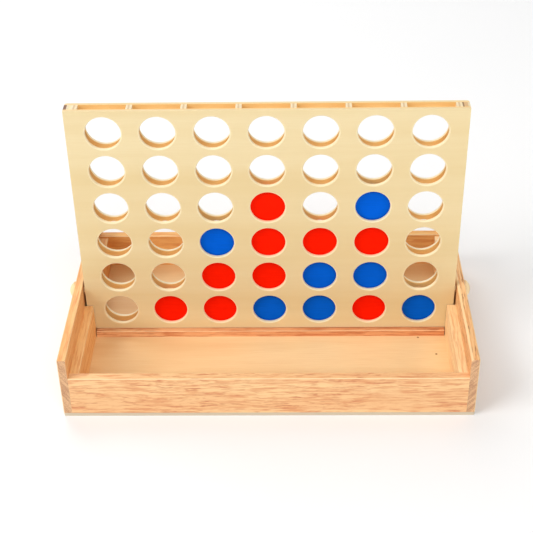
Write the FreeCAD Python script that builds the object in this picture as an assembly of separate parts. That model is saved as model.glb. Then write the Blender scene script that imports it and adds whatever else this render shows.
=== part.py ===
"""Four in a row game: an upright slotted board standing in a low wooden tray.

Millimetres. +Z is up, +X runs along the board's width and the front faces -Y.
The origin is at the middle of the tray's underside.
"""
import FreeCAD, Part
import os

V = FreeCAD.Vector

# Game layout. The column pitch is the scale that the rest of the size follows.
columns = 7
rows = 6
columnPitch = 40.0
rowPitch = 32.4
frontHoleDia = 26.6
backHoleDia = 28.8

# Discs. A stacked disc keeps discGap to the one under it.
discGap = 0.3
discDia = rowPitch - discGap
discThick = 6.0
discEdge = 0.9

# Board: two plates with strips between them.
plateThick = 3.0
slotDepth = 7.0
spacerWidth = 4.5
endStripWidth = 5.5
bottomMargin = 18.7
topMargin = 18.6
boardThick = 2 * plateThick + slotDepth
boardHeight = bottomMargin + (rows - 1) * rowPitch + topMargin
boardWidth = columns * columnPitch + spacerWidth + 2 * endStripWidth
frontRimEase = 0.9
backRimEase = 0.4
rearCorner = 2.4

# Tray. Heights are measured from the table. The walls stand on the base's lip.
baseThick = 5.9
baseLip = 3.0
baseCorner = 1.6
sideClearance = 1.75
sideThick = 6.5
endThick = 7.2
trayDepth = 198.4
sideHeight = 54.0
endHeight = 36.5
edgeEase = 0.9
rightInnerEase = 2.4
innerWidth = boardWidth + 2 * sideClearance
trayWidth = innerWidth + 2 * sideThick

# Ledges that hold the board upright, and the bar under its open columns.
ledgeWidth = 7.0
ledgeTop = 35.0
ledgeGap = 0.5
barHeight = 5.6
barStepOut = 4.0
barEndGap = 0.6
standGap = 0.6
barLength = innerWidth - 2 * (ledgeWidth + barEndGap)
barDepth = boardThick + 2 * barStepOut
boardBottom = baseThick + barHeight + standGap
boardTop = boardBottom + boardHeight

# Pegs through the side walls into the grooves at the ends of the board.
pegHeight = 46.0
pegRadius = 3.2
pegBoreRadius = 3.25
pegHeadRadius = 7.0
pegRim = 1.0
pegDome = 3.6
pegTipGap = 0.5
headGap = 0.3
stripClearance = 0.6

# State of play: the colours in each column, from the bottom up.
play = {
    2: ["red"],
    3: ["red", "red", "blue"],
    4: ["blue", "red", "red", "red"],
    5: ["blue", "blue", "red"],
    6: ["red", "blue", "red", "blue"],
    7: ["blue"],
}


def box(x0, x1, y0, y1, z0, z1):
    return Part.makeBox(x1 - x0, y1 - y0, z1 - z0, V(x0, y0, z0))


def columnX(column):
    return (column - (columns + 1) / 2.0) * columnPitch


def rowZ(stackIndex):
    return boardBottom + bottomMargin + stackIndex * rowPitch


def straightEdges(solid, direction):
    found = []
    for edge in solid.Edges:
        if not isinstance(edge.Curve, Part.Line):
            continue
        if abs(edge.Curve.Direction.dot(direction)) > 0.999:
            found.append(edge)
    return found


def basePanel():
    """Sheet with a rebate all round, so that its middle fills the space inside the walls."""
    lip = box(-trayWidth / 2, trayWidth / 2, -trayDepth / 2, trayDepth / 2, 0, baseLip)
    lip = lip.makeFillet(baseCorner, straightEdges(lip, V(0, 0, 1)))
    innerDepth = trayDepth - 2 * endThick
    middle = box(-innerWidth / 2, innerWidth / 2, -innerDepth / 2, innerDepth / 2, 0, baseThick)
    return lip.fuse(middle).removeSplitter()


def endWall(side):
    """Front (side -1) or back (side +1) wall, held between the side walls."""
    outer = side * trayDepth / 2
    inner = side * (trayDepth / 2 - endThick)
    low, high = sorted((outer, inner))
    wall = box(-innerWidth / 2, innerWidth / 2, low, high, baseLip, endHeight)
    top = [e for e in straightEdges(wall, V(1, 0, 0)) if e.CenterOfMass.z > endHeight - 0.01]
    return wall.makeFillet(edgeEase, top)


def sideWall(side):
    inner = side * innerWidth / 2
    outer = side * trayWidth / 2
    low, high = sorted((inner, outer))
    wall = box(low, high, -trayDepth / 2, trayDepth / 2, baseLip, sideHeight)
    top = [e for e in straightEdges(wall, V(0, 1, 0)) if e.CenterOfMass.z > sideHeight - 0.01]
    topInside = [e for e in top if abs(e.CenterOfMass.x) < innerWidth / 2 + 0.01]
    wall = wall.makeFillet(rightInnerEase if side > 0 else edgeEase, topInside)
    outside = [e for e in straightEdges(wall, V(0, 0, 1)) + straightEdges(wall, V(0, 1, 0))
               if abs(e.CenterOfMass.x) > trayWidth / 2 - 0.01 and e.CenterOfMass.z > baseLip + 0.01]
    wall = wall.makeFillet(edgeEase, outside)
    start = V(side * (innerWidth / 2 - 1), 0, pegHeight)
    bore = Part.makeCylinder(pegBoreRadius, sideThick + 2, start, V(side, 0, 0))
    return wall.cut(bore)


def ledge(xSide, ySide):
    """Strip along a side wall that stops just short of the board's face."""
    xLow, xHigh = sorted((xSide * innerWidth / 2, xSide * (innerWidth / 2 - ledgeWidth)))
    near = boardThick / 2 + ledgeGap
    far = trayDepth / 2 - endThick
    yLow, yHigh = sorted((ySide * near, ySide * far))
    strip = box(xLow, xHigh, yLow, yHigh, baseThick, ledgeTop)
    inside = []
    for edge in straightEdges(strip, V(0, 1, 0)):
        centre = edge.CenterOfMass
        if centre.z > ledgeTop - 0.01 and abs(centre.x) < innerWidth / 2 - ledgeWidth + 0.01:
            inside.append(edge)
    return strip.makeFillet(edgeEase / 2, inside)


def restBar():
    bar = box(-barLength / 2, barLength / 2, -barDepth / 2, barDepth / 2,
              baseThick, baseThick + barHeight)
    top = [e for e in straightEdges(bar, V(1, 0, 0)) if e.CenterOfMass.z > baseThick + 1]
    return bar.makeFillet(edgeEase / 2, top)


def holes(diameter, yLow, yHigh):
    cutters = []
    for column in range(1, columns + 1):
        for index in range(rows):
            start = V(columnX(column), yLow - 1, rowZ(index))
            cutters.append(Part.makeCylinder(diameter / 2, yHigh - yLow + 2, start, V(0, 1, 0)))
    return cutters


def plate(side):
    """Front (side -1) or back (side +1) plate with a hole for every place."""
    yLow, yHigh = sorted((side * slotDepth / 2, side * boardThick / 2))
    sheet = box(-boardWidth / 2, boardWidth / 2, yLow, yHigh, boardBottom, boardTop)
    diameter, ease = frontHoleDia, frontRimEase
    if side > 0:
        diameter, ease = backHoleDia, backRimEase
        rear = [e for e in straightEdges(sheet, V(0, 0, 1)) if e.CenterOfMass.y > yHigh - 0.01]
        sheet = sheet.makeFillet(rearCorner, rear)
    sheet = sheet.cut(holes(diameter, yLow, yHigh))
    rims = [e for e in sheet.Edges if isinstance(e.Curve, Part.Circle) and e.Curve.Radius > 10]
    return sheet.makeFillet(ease, [e for e in rims if e.Closed])


def uprightStrip(x0, x1, bottom):
    return box(x0, x1, -slotDepth / 2, slotDepth / 2, bottom, boardTop)


def innerSpacer(index):
    """Strip between column index and the next one."""
    middle = columnX(index) + columnPitch / 2
    return uprightStrip(middle - spacerWidth / 2, middle + spacerWidth / 2, boardBottom)


def endSpacer(side):
    near = columns * columnPitch / 2 - spacerWidth / 2
    x0, x1 = sorted((side * near, side * (near + spacerWidth)))
    return uprightStrip(x0, x1, boardBottom)


def endStrip(side):
    """Outer strip. It stops above the peg, which leaves an open groove under it."""
    near = boardWidth / 2 - endStripWidth
    x0, x1 = sorted((side * near, side * boardWidth / 2))
    return uprightStrip(x0, x1, pegHeight + pegRadius + stripClearance)


def peg(side):
    """Round peg with a domed head, lying along X."""
    tip = boardWidth / 2 - endStripWidth + pegTipGap
    seat = trayWidth / 2 + headGap
    domeRadius = (pegHeadRadius ** 2 + pegDome ** 2) / (2 * pegDome)
    corner = V(seat + pegRim, 0, pegHeadRadius)
    crown = V(seat + pegRim + pegDome, 0, 0)
    bend = 0.55
    domeCentre = seat + pegRim + pegDome - domeRadius
    rise = domeRadius ** 2 - (seat + pegRim + pegDome * bend - domeCentre) ** 2
    middle = V(seat + pegRim + pegDome * bend, 0, rise ** 0.5)
    outline = [
        Part.makeLine(V(tip, 0, 0), V(tip, 0, pegRadius - 0.5)),
        Part.makeLine(V(tip, 0, pegRadius - 0.5), V(tip + 0.5, 0, pegRadius)),
        Part.makeLine(V(tip + 0.5, 0, pegRadius), V(seat, 0, pegRadius)),
        Part.makeLine(V(seat, 0, pegRadius), V(seat, 0, pegHeadRadius)),
        Part.makeLine(V(seat, 0, pegHeadRadius), corner),
        Part.Arc(corner, middle, crown).toShape(),
        Part.makeLine(crown, V(tip, 0, 0)),
    ]
    face = Part.Face(Part.Wire(outline))
    solid = face.revolve(V(0, 0, 0), V(1, 0, 0), 360)
    if side < 0:
        solid = solid.mirror(V(0, 0, 0), V(1, 0, 0))
    solid.translate(V(0, 0, pegHeight))
    return solid


def disc(column, stackIndex):
    middle = boardBottom + discDia / 2 + stackIndex * rowPitch
    start = V(columnX(column), -discThick / 2, middle)
    solid = Part.makeCylinder(discDia / 2, discThick, start, V(0, 1, 0))
    rims = [e for e in solid.Edges if isinstance(e.Curve, Part.Circle)]
    return solid.makeFillet(discEdge, rims)


def trayParts():
    return {
        "base_panel": basePanel(),
        "front_wall": endWall(-1),
        "back_wall": endWall(1),
        "left_wall": sideWall(-1),
        "right_wall": sideWall(1),
        "front_left_ledge": ledge(-1, -1),
        "front_right_ledge": ledge(1, -1),
        "rear_left_ledge": ledge(-1, 1),
        "rear_right_ledge": ledge(1, 1),
        "rest_bar": restBar(),
        "left_peg": peg(-1),
        "right_peg": peg(1),
    }


def boardParts():
    made = {
        "front_plate": plate(-1),
        "back_plate": plate(1),
        "left_end_spacer": endSpacer(-1),
        "right_end_spacer": endSpacer(1),
        "left_end_strip": endStrip(-1),
        "right_end_strip": endStrip(1),
    }
    for index in range(1, columns):
        made["spacer_%d" % index] = innerSpacer(index)
    return made


def discParts():
    made = {}
    for column, colours in play.items():
        for stackIndex, colour in enumerate(colours):
            made["disc_c%d_n%d_%s" % (column, stackIndex + 1, colour)] = disc(column, stackIndex)
    return made


os.makedirs("parts", exist_ok=True)
everything = {}
everything.update(trayParts())
everything.update(boardParts())
everything.update(discParts())
for name, shape in everything.items():
    solid = shape.Solids[0]
    solid.exportStep("parts/%s.step" % name)
    size = solid.optimalBoundingBox(False, False)
    print(name, len(shape.Solids), solid.isValid(),
          round(size.XLength, 2), round(size.YLength, 2), round(size.ZLength, 2))
print("nodes", len(everything))
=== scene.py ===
import math

import bmesh
import bpy
from mathutils import Matrix, Vector


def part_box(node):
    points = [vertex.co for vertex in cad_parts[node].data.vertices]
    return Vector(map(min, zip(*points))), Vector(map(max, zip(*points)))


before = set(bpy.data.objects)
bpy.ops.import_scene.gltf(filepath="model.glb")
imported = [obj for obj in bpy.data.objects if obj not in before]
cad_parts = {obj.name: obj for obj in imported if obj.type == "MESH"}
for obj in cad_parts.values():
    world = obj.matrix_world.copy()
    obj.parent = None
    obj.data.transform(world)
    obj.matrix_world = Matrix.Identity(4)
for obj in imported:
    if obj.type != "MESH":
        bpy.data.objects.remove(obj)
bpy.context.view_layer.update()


# small helpers for node materials

def addNode(tree, kind, values=None, **settings):
    made = tree.nodes.new(kind)
    for key, value in settings.items():
        setattr(made, key, value)
    for key, value in (values or {}).items():
        made.inputs[key].default_value = value
    return made


def blankMaterial(name, shine):
    material = bpy.data.materials.new(name)
    material.use_nodes = True
    tree = material.node_tree
    shader = tree.nodes["Principled BSDF"]
    for key, value in shine.items():
        shader.inputs[key].default_value = value
    return material, tree, shader


def objectPlace(tree):
    return addNode(tree, "ShaderNodeTexCoord").outputs["Object"]


def grainSpace(tree, along, shift):
    # object coordinates, turned so that X runs along the grain
    turns = {"X": (0, 0, 0), "Y": (0, 0, -math.pi / 2), "Z": (0, math.pi / 2, 0)}
    turned = addNode(tree, "ShaderNodeMapping", {"Location": shift, "Rotation": turns[along]})
    tree.links.new(objectPlace(tree), turned.inputs["Vector"])
    return turned.outputs["Vector"]


def stretched(tree, vector, factors):
    scaled = addNode(tree, "ShaderNodeVectorMath", operation="MULTIPLY")
    scaled.inputs[1].default_value = factors
    tree.links.new(vector, scaled.inputs[0])
    return scaled.outputs["Vector"]


def noise(tree, vector, scale, stretch=1.0, detail=2.0, rough=0.5):
    made = addNode(tree, "ShaderNodeTexNoise", {"Scale": scale, "Detail": detail, "Roughness": rough})
    if stretch != 1.0:
        vector = stretched(tree, vector, (stretch, 1, 1))
    tree.links.new(vector, made.inputs["Vector"])
    return made.outputs["Fac"]


def wavy(tree, vector, look):
    # pushes the grain sideways so that its lines wander
    made = addNode(tree, "ShaderNodeTexNoise", {"Scale": look["waveScale"], "Detail": 2.0})
    tree.links.new(stretched(tree, vector, (look["waveStretch"], 1, 1)), made.inputs["Vector"])
    centred = addNode(tree, "ShaderNodeVectorMath", operation="SUBTRACT")
    centred.inputs[1].default_value = (0.5, 0.5, 0.5)
    tree.links.new(made.outputs["Color"], centred.inputs[0])
    pushed = addNode(tree, "ShaderNodeVectorMath", operation="MULTIPLY_ADD")
    pushed.inputs[1].default_value = (0, look["wave"], look["wave"])
    tree.links.new(centred.outputs["Vector"], pushed.inputs[0])
    tree.links.new(vector, pushed.inputs[2])
    return pushed.outputs["Vector"]


def remap(tree, value, low, high, outLow=0.0, outHigh=1.0):
    made = addNode(tree, "ShaderNodeMapRange", {
        "From Min": low, "From Max": high, "To Min": outLow, "To Max": outHigh})
    tree.links.new(value, made.inputs["Value"])
    return made.outputs["Result"]


def maths(tree, kind, first, second=0.0):
    made = addNode(tree, "ShaderNodeMath", operation=kind)
    for socket, value in zip(made.inputs, (first, second)):
        if isinstance(value, float):
            socket.default_value = value
        else:
            tree.links.new(value, socket)
    return made.outputs["Value"]


def blended(tree, first, firstShare, second, secondShare):
    return maths(tree, "ADD", maths(tree, "MULTIPLY", first, firstShare),
                 maths(tree, "MULTIPLY", second, secondShare))


def awayFrom(tree, value, middle):
    return maths(tree, "ABSOLUTE", maths(tree, "SUBTRACT", value, middle))


def mixColour(tree, factor, first, second):
    # of a colour mix, socket 0 is the factor and 6 and 7 are the two colours
    made = addNode(tree, "ShaderNodeMix", data_type="RGBA")
    for socket, value in ((made.inputs[0], factor), (made.inputs[6], first), (made.inputs[7], second)):
        if isinstance(value, (tuple, float)):
            socket.default_value = value
        else:
            tree.links.new(value, socket)
    return made.outputs[2]


def colour(values):
    # screen colour, 0 to 255, to the linear values that sockets take
    linear = []
    for value in values:
        part = value / 255
        linear.append(part / 12.92 if part <= 0.04045 else ((part + 0.055) / 1.055) ** 2.4)
    return (*linear, 1.0)


def axisOf(tree, vector, axis):
    split = addNode(tree, "ShaderNodeSeparateXYZ")
    tree.links.new(vector, split.inputs["Vector"])
    return split.outputs[axis]


def facing(tree, axis, low=0.55, high=0.8):
    # 1 on faces that look along the axis, 0 on the others
    side = axisOf(tree, addNode(tree, "ShaderNodeTexCoord").outputs["Normal"], axis)
    return remap(tree, maths(tree, "ABSOLUTE", side), low, high)


def onArris(tree, flat=0.985, eased=0.9):
    # 1 on the eased edges, whose faces look along none of the three axes
    split = addNode(tree, "ShaderNodeSeparateXYZ")
    tree.links.new(addNode(tree, "ShaderNodeTexCoord").outputs["Normal"], split.inputs["Vector"])
    most = None
    for axis in "XYZ":
        side = maths(tree, "ABSOLUTE", split.outputs[axis])
        most = side if most is None else maths(tree, "MAXIMUM", most, side)
    return remap(tree, most, flat, eased)


def layered(tree, position, bands, blend=0.02):
    # one colour for each ply: pairs of start (0 to 1) and screen colour
    node = addNode(tree, "ShaderNodeValToRGB")
    stops = node.color_ramp.elements
    while len(stops) > 1:
        stops.remove(stops[-1])
    stops[0].position = 0.0
    stops[0].color = colour(bands[0][1])
    for (start, tint), (_, previous) in zip(bands[1:], bands):
        stops.new(start - blend).color = colour(previous)
        stops.new(start + blend).color = colour(tint)
    tree.links.new(position, node.inputs["Fac"])
    return node.outputs["Color"]


# the shine varies a little with the grain
woodShine = {"Specular IOR Level": 0.25}
roughness = {"from": 0.3, "to": 0.7, "least": 0.42, "most": 0.58}


def finishWood(tree, shader, base, shineFactor, height, look):
    tree.links.new(base, shader.inputs["Base Color"])
    rough = remap(tree, shineFactor, roughness["from"], roughness["to"],
                  roughness["least"], roughness["most"])
    tree.links.new(rough, shader.inputs["Roughness"])
    bump = addNode(tree, "ShaderNodeBump", {"Strength": look["relief"], "Distance": look["reliefDepth"]})
    tree.links.new(height, bump.inputs["Height"])
    tree.links.new(bump.outputs["Normal"], shader.inputs["Normal"])


# solid wood of the tray, with open pores that show as short dashes

solidWood = {
    "light": (249, 209, 154), "deep": (240, 188, 135),
    "streak": (222, 148, 100), "dash": (196, 104, 64),
    "endLight": (226, 182, 138), "endDark": (190, 140, 104),
    # painted highlight: the pale colour painted on the eased edges, standing in for the light they catch
    "paintedArrisHighlight": (255, 228, 178), "paintedArrisHighlightAmount": 0.7,
    "bandScale": 60, "bandStretch": 0.07, "bandFrom": 0.36, "bandTo": 0.66,
    "streakScale": 700, "streakStretch": 0.075, "streakFrom": 0.47, "streakTo": 0.62,
    "streakAmount": 0.75, "streakRelief": 0.6,
    "dashScale": 850, "dashStretch": 0.1, "dashFrom": 0.54, "dashFade": 0.1, "dashAmount": 0.6,
    "patchScale": 36, "patchStretch": 0.4, "patchFrom": 0.35, "patchTo": 0.6, "patchLeast": 0.25,
    "poreScale": 1500, "poreStretch": 0.6, "poreShare": 0.5,
    "ringScale": 520, "ringStretch": (0.2, 1.0, 0.12), "ringShare": 0.5,
    "endTurn": 0.6, "endFrom": 0.4, "endTo": 0.6,
    "waveScale": 60, "waveStretch": 0.7, "wave": 0.0028,
    "relief": 0.14, "reliefDepth": 0.0001,
}


def endGrain(tree, straight, look):
    # pores and slanting growth rings, seen where the wood is cut across
    pores = noise(tree, straight, look["poreScale"], look["poreStretch"])
    turned = addNode(tree, "ShaderNodeMapping", {"Rotation": (look["endTurn"], 0, 0)})
    tree.links.new(straight, turned.inputs["Vector"])
    slanted = stretched(tree, turned.outputs["Vector"], look["ringStretch"])
    rings = noise(tree, slanted, look["ringScale"])
    tone = blended(tree, pores, look["poreShare"], rings, look["ringShare"])
    return mixColour(tree, remap(tree, tone, look["endFrom"], look["endTo"]),
                     colour(look["endLight"]), colour(look["endDark"]))


def solidWoodMaterial(name, look, along, shift):
    material, tree, shader = blankMaterial(name, woodShine)
    straight = grainSpace(tree, along, shift)
    grain = wavy(tree, straight, look)
    bands = noise(tree, grain, look["bandScale"], look["bandStretch"], detail=3.0, rough=0.55)
    base = mixColour(tree, remap(tree, bands, look["bandFrom"], look["bandTo"]),
                     colour(look["light"]), colour(look["deep"]))
    streaks = noise(tree, grain, look["streakScale"], look["streakStretch"], detail=3.0, rough=0.55)
    streakMask = remap(tree, streaks, look["streakFrom"], look["streakTo"], 0.0, look["streakAmount"])
    base = mixColour(tree, streakMask, base, colour(look["streak"]))
    # the dashes come in patches
    patches = noise(tree, straight, look["patchScale"], look["patchStretch"], detail=1.0)
    patches = remap(tree, patches, look["patchFrom"], look["patchTo"], look["patchLeast"], 1.0)
    dashes = noise(tree, grain, look["dashScale"], look["dashStretch"], rough=0.6)
    dashes = remap(tree, dashes, look["dashFrom"], look["dashFrom"] + look["dashFade"])
    dashMask = maths(tree, "MULTIPLY", dashes, patches)
    dashTint = maths(tree, "MULTIPLY", dashMask, look["dashAmount"])
    base = mixColour(tree, dashTint, base, colour(look["dash"]))
    base = mixColour(tree, facing(tree, along), base, endGrain(tree, straight, look))
    # painted highlight: the eased edges are painted paler, standing in for the light they catch
    paintedArrisHighlight = maths(tree, "MULTIPLY", onArris(tree), look["paintedArrisHighlightAmount"])
    base = mixColour(tree, paintedArrisHighlight, base, colour(look["paintedArrisHighlight"]))
    height = maths(tree, "SUBTRACT", maths(tree, "MULTIPLY", streaks, look["streakRelief"]), dashMask)
    finishWood(tree, shader, base, bands, height, look)
    return material


# plywood sheets: faint grain on the face, plies on the cut edge

sheetWood = {
    "face": (234, 215, 170), "faceDeep": (228, 205, 154),
    "bandScale": 45, "bandStretch": 0.05, "bandFrom": 0.36, "bandTo": 0.64,
    "fibreScale": 1300, "fibreStretch": 0.035, "fibreFrom": 0.4, "fibreTo": 0.7, "fibreAmount": 0.3,
    "waveScale": 14, "waveStretch": 0.5, "wave": 0.006,
    "core": (214, 170, 112), "coreAmount": 0.35, "coreOuter": 0.2, "coreInner": 0.16,
    "pin": (150, 92, 46), "pinSize": 0.0011, "pinCore": 0.6, "pinAmount": 0.9, "pins": (),
    # painted shade: the warmer orange painted on the face inside the slots
    "inside": (241, 196, 126), "insideFull": 0.0003, "insideEnd": 0.0009,
    "columnPitch": 0.04, "lastColumn": 3.0, "rowPitch": 0.0324, "lowestRow": 0.0308, "lastRow": 5.0,
    # painted highlight: the pale ring painted round the window rims
    "paintedRimHighlight": (252, 240, 206), "rimRadius": 0.0137, "rimWidth": 0.0007, "rimCore": 0.6, "paintedRimHighlightAmount": 0.45,
    "relief": 0.15, "reliefDepth": 0.0001,
}


def fromWindow(tree, look):
    # how far a point is from the middle of the nearest round window
    source = addNode(tree, "ShaderNodeSeparateXYZ")
    tree.links.new(objectPlace(tree), source.inputs["Vector"])
    grid = (("X", look["columnPitch"], 0.0, -look["lastColumn"], look["lastColumn"]),
            ("Z", look["rowPitch"], look["lowestRow"], 0.0, look["lastRow"]))
    total = None
    for axis, pitch, start, lowest, highest in grid:
        cells = maths(tree, "DIVIDE", maths(tree, "SUBTRACT", source.outputs[axis], start), pitch)
        nearest = maths(tree, "MAXIMUM", maths(tree, "ROUND", cells), lowest)
        nearest = maths(tree, "MINIMUM", nearest, highest)
        off = maths(tree, "MULTIPLY", maths(tree, "SUBTRACT", cells, nearest), pitch)
        square = maths(tree, "MULTIPLY", off, off)
        total = square if total is None else maths(tree, "ADD", total, square)
    return maths(tree, "SQRT", total)


def withPins(tree, base, place, look):
    # small dark pin heads
    for pin in look["pins"]:
        away = addNode(tree, "ShaderNodeVectorMath", operation="DISTANCE")
        away.inputs[1].default_value = pin
        tree.links.new(place, away.inputs[0])
        spot = remap(tree, away.outputs["Value"], look["pinSize"] * look["pinCore"], look["pinSize"],
                     look["pinAmount"], 0.0)
        base = mixColour(tree, spot, base, colour(look["pin"]))
    return base


def withPaintedSlotShadeAndRimHighlight(tree, base, depth, slotFace, look):
    # painted shade: the face inside the slots is painted a warmer, deeper orange, standing in for the
    # warm bounce light in their shade
    off = awayFrom(tree, depth, slotFace)
    inside = remap(tree, off, look["insideFull"], look["insideEnd"], 1.0, 0.0)
    base = mixColour(tree, inside, base, colour(look["inside"]))
    # painted highlight: the eased rims of the windows are painted paler, standing in for the light they
    # catch
    edge = awayFrom(tree, fromWindow(tree, look), look["rimRadius"])
    paintedRimHighlight = remap(tree, edge, look["rimWidth"] * look["rimCore"], look["rimWidth"], look["paintedRimHighlightAmount"], 0.0)
    outside = remap(tree, off, look["insideFull"], look["insideEnd"])
    return mixColour(tree, maths(tree, "MULTIPLY", paintedRimHighlight, outside), base, colour(look["paintedRimHighlight"]))


def sheetMaterial(name, look, layerAxis, layerLow, layerHigh, slotFace=None):
    material, tree, shader = blankMaterial(name, woodShine)
    place = objectPlace(tree)
    grain = wavy(tree, grainSpace(tree, "X", look["shift"]), look)
    bands = noise(tree, grain, look["bandScale"], look["bandStretch"], detail=3.0, rough=0.55)
    base = mixColour(tree, remap(tree, bands, look["bandFrom"], look["bandTo"]),
                     colour(look["face"]), colour(look["faceDeep"]))
    fibre = noise(tree, grain, look["fibreScale"], look["fibreStretch"])
    fibreMask = remap(tree, fibre, look["fibreFrom"], look["fibreTo"], 0.0, look["fibreAmount"])
    base = mixColour(tree, fibreMask, base, colour(look["faceDeep"]))
    base = withPins(tree, base, place, look)
    # the middle ply has its grain turned, so it reads darker on a cut edge
    depth = axisOf(tree, place, layerAxis)
    offCentre = awayFrom(tree, remap(tree, depth, layerLow, layerHigh), 0.5)
    core = remap(tree, offCentre, look["coreOuter"], look["coreInner"], 0.0, look["coreAmount"])
    base = mixColour(tree, core, base, colour(look["core"]))
    if "edge" in look:
        base = mixColour(tree, facing(tree, layerAxis, low=0.3, high=0.7), colour(look["edge"]), base)
    if slotFace is not None:
        base = withPaintedSlotShadeAndRimHighlight(tree, base, depth, slotFace, look)
    finishWood(tree, shader, base, fibre, fibre, look)
    return material


# strips seen on their cut ends, with plies across the board's width, and on the right end strip a dark
# band of painted joint shade

stripWood = {
    "spacer": ((0.0, (238, 222, 186)), (0.32, (214, 186, 146)), (0.62, (236, 218, 180))),
    "leftEnd": ((0.0, (120, 84, 66)), (0.4, (228, 212, 180)), (0.7, (236, 222, 176))),
    # painted shade: the first, dark band of the right end strip stands in for the shadow in the joint at
    # its inner side
    "rightEnd": ((0.0, (132, 98, 72)), (0.2, (214, 176, 128)), (0.72, (226, 208, 170))),
    "fibre": (196, 156, 108),
    "fibreScale": 900, "fibreStretch": 0.05, "fibreFrom": 0.4, "fibreTo": 0.7, "fibreAmount": 0.3,
    "shiftStep": 0.1, "shift": (0.3, 0.7), "relief": 0.2, "reliefDepth": 0.0001,
}


def stripMaterial(nodeName, look, bands, shift):
    material, tree, shader = blankMaterial("strip_" + nodeName, woodShine)
    low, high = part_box(nodeName)
    across = remap(tree, axisOf(tree, objectPlace(tree), "X"), low[0], high[0])
    fibre = noise(tree, grainSpace(tree, "Z", shift), look["fibreScale"], look["fibreStretch"])
    fibreMask = remap(tree, fibre, look["fibreFrom"], look["fibreTo"], 0.0, look["fibreAmount"])
    base = mixColour(tree, fibreMask, layered(tree, across, look[bands]), colour(look["fibre"]))
    finishWood(tree, shader, base, fibre, fibre, look)
    return material


# lacquer of the discs: colour over wood, so a little grain shows through

lacquer = {
    "red": (255, 28, 0), "redDeep": (242, 14, 0),
    "blue": (0, 98, 222), "blueDeep": (0, 82, 194),
    "deepFrom": 0.42, "deepTo": 0.62, "deepAmount": 0.3,
    "fibreScale": 1100, "fibreStretch": 0.05, "fibreShare": 0.6,
    "cloudScale": 120, "cloudShare": 0.4,
    "waveScale": 60, "waveStretch": 0.5, "wave": 0.001,
    "shine": {"Specular IOR Level": 0.03}, "relief": 0.12, "reliefDepth": 0.00008,
}


def lacquerMaterial(name, look, tint, shift):
    material, tree, shader = blankMaterial(name, look["shine"])
    straight = grainSpace(tree, "X", shift)
    fibre = noise(tree, wavy(tree, straight, look), look["fibreScale"], look["fibreStretch"])
    cloud = noise(tree, straight, look["cloudScale"])
    tone = blended(tree, fibre, look["fibreShare"], cloud, look["cloudShare"])
    deep = remap(tree, tone, look["deepFrom"], look["deepTo"], 0.0, look["deepAmount"])
    base = mixColour(tree, deep, colour(look[tint]), colour(look[tint + "Deep"]))
    finishWood(tree, shader, base, cloud, fibre, look)
    return material


def dress(nodeName, material):
    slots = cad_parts[nodeName].data.materials
    slots.clear()
    slots.append(material)


# tray

calmWood = {"light": (252, 202, 132), "deep": (240, 178, 106), "streak": (222, 140, 76),
            "streakStretch": 0.05, "streakAmount": 0.6, "dashAmount": 0.3, "dashStretch": 0.07}
# painted light: paler copies of the calm wood colours for the right ledges, which the light from the
# left falls on
paintedLitWood = {**calmWood, "light": (255, 230, 180), "deep": (252, 212, 156), "streak": (236, 176, 118)}
trayPieces = {
    "front_wall": {"along": "X", "shift": (0.31, 0.02, 0.05)},
    "back_wall": {"along": "X", "shift": (0.93, 0.12, 0.25), **calmWood},
    # painted shade: the left wall gets darker, more orange colours, standing in for the shade on its
    # inner face
    "left_wall": {"along": "Y", "shift": (0.15, 0.32, 0.61), **calmWood, "light": (244, 192, 130),
                  "deep": (230, 168, 104), "paintedArrisHighlight": (250, 216, 164)},
    "right_wall": {"along": "Y", "shift": (0.77, 0.45, 0.13), **calmWood, "light": (250, 206, 150),
                   "deep": (240, 184, 126), "dash": (150, 84, 50), "dashAmount": 0.85,
                   "dashFrom": 0.55, "endTurn": -0.7},
    "front_left_ledge": {"along": "Y", "shift": (0.21, 0.72, 0.33), **calmWood, "light": (255, 210, 144),
                         "deep": (246, 190, 120)},
    "front_right_ledge": {"along": "Y", "shift": (0.52, 0.66, 0.85), **paintedLitWood},
    "rear_left_ledge": {"along": "Y", "shift": (0.41, 0.12, 0.93), **calmWood},
    "rear_right_ledge": {"along": "Y", "shift": (0.12, 0.96, 0.45), **paintedLitWood},
    "rest_bar": {"along": "X", "shift": (0.44, 0.56, 0.75), "light": (244, 190, 138),
                 "deep": (228, 158, 108), "streak": (196, 112, 66), "dash": (160, 78, 44),
                 "streakStretch": 0.05, "dashStretch": 0.05},
}
for nodeName, changes in trayPieces.items():
    look = {**solidWood, **changes}
    dress(nodeName, solidWoodMaterial("wood_" + nodeName, look, look["along"], look["shift"]))

low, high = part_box("base_panel")
baseLook = {**sheetWood, "face": (250, 216, 164), "faceDeep": (234, 190, 134), "edge": (208, 192, 168),
            "bandScale": 26, "bandStretch": 0.12, "shift": (0.2, 0.4, 0.1), "coreAmount": 0.0,
            "pins": ((0.1205, -0.0125, high[2]), (0.1333, -0.0338, high[2]))}
dress("base_panel", sheetMaterial("ply_base", baseLook, "Z", low[2], high[2]))
print("tray dressed")

# board

plateLooks = {
    "front_plate": {**sheetWood, "shift": (0.1, 0.3, 0.5)},
    # painted highlight: on the back plate the pale ring is painted wider and stronger, over the hole
    # walls
    "back_plate": {**sheetWood, "shift": (0.6, 0.9, 0.2), "rimRadius": 0.0145, "paintedRimHighlightAmount": 0.9},
}
for nodeName, look in plateLooks.items():
    low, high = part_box(nodeName)
    # the slots lie behind the front plate and before the back one
    slotFace = high[1] if nodeName == "front_plate" else low[1]
    dress(nodeName, sheetMaterial("ply_" + nodeName, look, "Y", low[1], high[1], slotFace))

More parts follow.
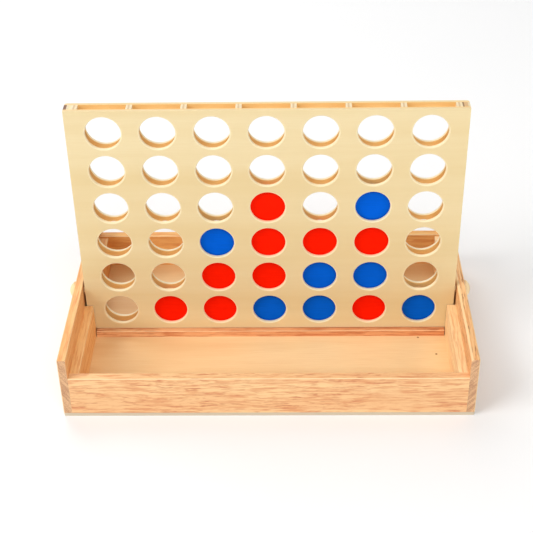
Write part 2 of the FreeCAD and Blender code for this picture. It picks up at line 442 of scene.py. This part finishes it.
stripPieces = {"left_end_strip": "leftEnd", "right_end_strip": "rightEnd", "left_end_spacer": "spacer",
               "right_end_spacer": "spacer", **{"spacer_%d" % i: "spacer" for i in range(1, 7)}}
for index, (nodeName, bands) in enumerate(stripPieces.items()):
    shift = (stripWood["shiftStep"] * index, *stripWood["shift"])
    dress(nodeName, stripMaterial(nodeName, stripWood, bands, shift))
print("board dressed")

# pegs

pegLook = {**solidWood, "light": (242, 212, 162), "deep": (230, 190, 136), "dashAmount": 0.35,
           "streak": (220, 172, 116), "endLight": (238, 206, 156), "endDark": (222, 182, 130)}
pegShifts = {"left_peg": (0.5, 0.1, 0.9), "right_peg": (0.9, 0.6, 0.3)}
for nodeName, shift in pegShifts.items():
    dress(nodeName, solidWoodMaterial("wood_" + nodeName, pegLook, "X", shift))
print("pegs dressed")

# discs: each one takes its grain from another place

discShift = {"xStep": 0.13, "yStep": 0.07, "z": 0.21}
for index, nodeName in enumerate(sorted(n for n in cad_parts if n.startswith("disc_"))):
    tint = nodeName.split("_")[-1]
    shift = (discShift["xStep"] * index, discShift["yStep"] * index, discShift["z"])
    dress(nodeName, lacquerMaterial("lacquer_" + nodeName, lacquer, tint, shift))
print("discs dressed")

# floor, light and camera

floorSettings = {"size": 6.0, "colour": (0.9, 0.9, 0.9, 1.0),
                 "shine": {"Roughness": 0.9, "Specular IOR Level": 0.1}}


def makeFloor(settings):
    sheet = bmesh.new()
    bmesh.ops.create_grid(sheet, x_segments=1, y_segments=1, size=settings["size"])
    mesh = bpy.data.meshes.new("floor")
    sheet.to_mesh(mesh)
    sheet.free()
    floor = bpy.data.objects.new("floor", mesh)
    bpy.context.collection.objects.link(floor)
    material, _, shader = blankMaterial("floorPaint", settings["shine"])
    shader.inputs["Base Color"].default_value = settings["colour"]
    mesh.materials.append(material)


skySettings = {"strength": 0.28, "colour": (1.0, 1.0, 1.0, 1.0)}
lampAim = (0, 0, 0.08)
lampSettings = {
    "key": {"place": (-2.4, -1.3, 2.2), "size": 2.0, "power": 74.0, "colour": (1.0, 1.0, 1.0)},
    "front": {"place": (0.3, -1.9, 2.1), "size": 1.4, "power": 22.0, "colour": (1.0, 1.0, 1.0)},
    "fill": {"place": (1.5, -0.8, 0.8), "size": 1.2, "power": 8.0, "colour": (1.0, 1.0, 1.0)},
    "rear": {"place": (-0.6, 1.5, 1.9), "size": 1.6, "power": 26.0, "colour": (1.0, 1.0, 1.0)},
}


def makeSky(settings):
    world = bpy.data.worlds.new("studio")
    world.use_nodes = True
    background = world.node_tree.nodes["Background"]
    background.inputs["Color"].default_value = settings["colour"]
    background.inputs["Strength"].default_value = settings["strength"]
    bpy.context.scene.world = world


def makeLamp(name, settings):
    data = bpy.data.lights.new(name, "AREA")
    data.energy = settings["power"]
    data.size = settings["size"]
    data.color = settings["colour"]
    lamp = bpy.data.objects.new(name, data)
    bpy.context.collection.objects.link(lamp)
    lamp.location = settings["place"]
    lamp.rotation_euler = (Vector(lampAim) - lamp.location).to_track_quat("-Z", "Y").to_euler()


cameraSettings = {"place": (0.0182, -0.7766, 0.6179), "aim": (-0.002, 0.0, 0.0685), "roll": -1.139,
                  "lens": 80.85, "sensor": 36.0, "near": 0.01}


def makeCamera(settings):
    data = bpy.data.cameras.new("camera")
    data.lens = settings["lens"]
    data.sensor_width = settings["sensor"]
    data.clip_start = settings["near"]
    camera = bpy.data.objects.new("camera", data)
    bpy.context.collection.objects.link(camera)
    place = Vector(settings["place"])
    turn = (Vector(settings["aim"]) - place).to_track_quat("-Z", "Y").to_matrix().to_4x4()
    roll = Matrix.Rotation(math.radians(settings["roll"]), 4, "Z")
    camera.matrix_world = Matrix.Translation(place) @ turn @ roll
    bpy.context.scene.camera = camera


makeFloor(floorSettings)
makeSky(skySettings)
for lampName, settings in lampSettings.items():
    makeLamp(lampName, settings)
makeCamera(cameraSettings)
bpy.context.scene.view_settings.view_transform = "Standard"
print("stage, light and camera set")
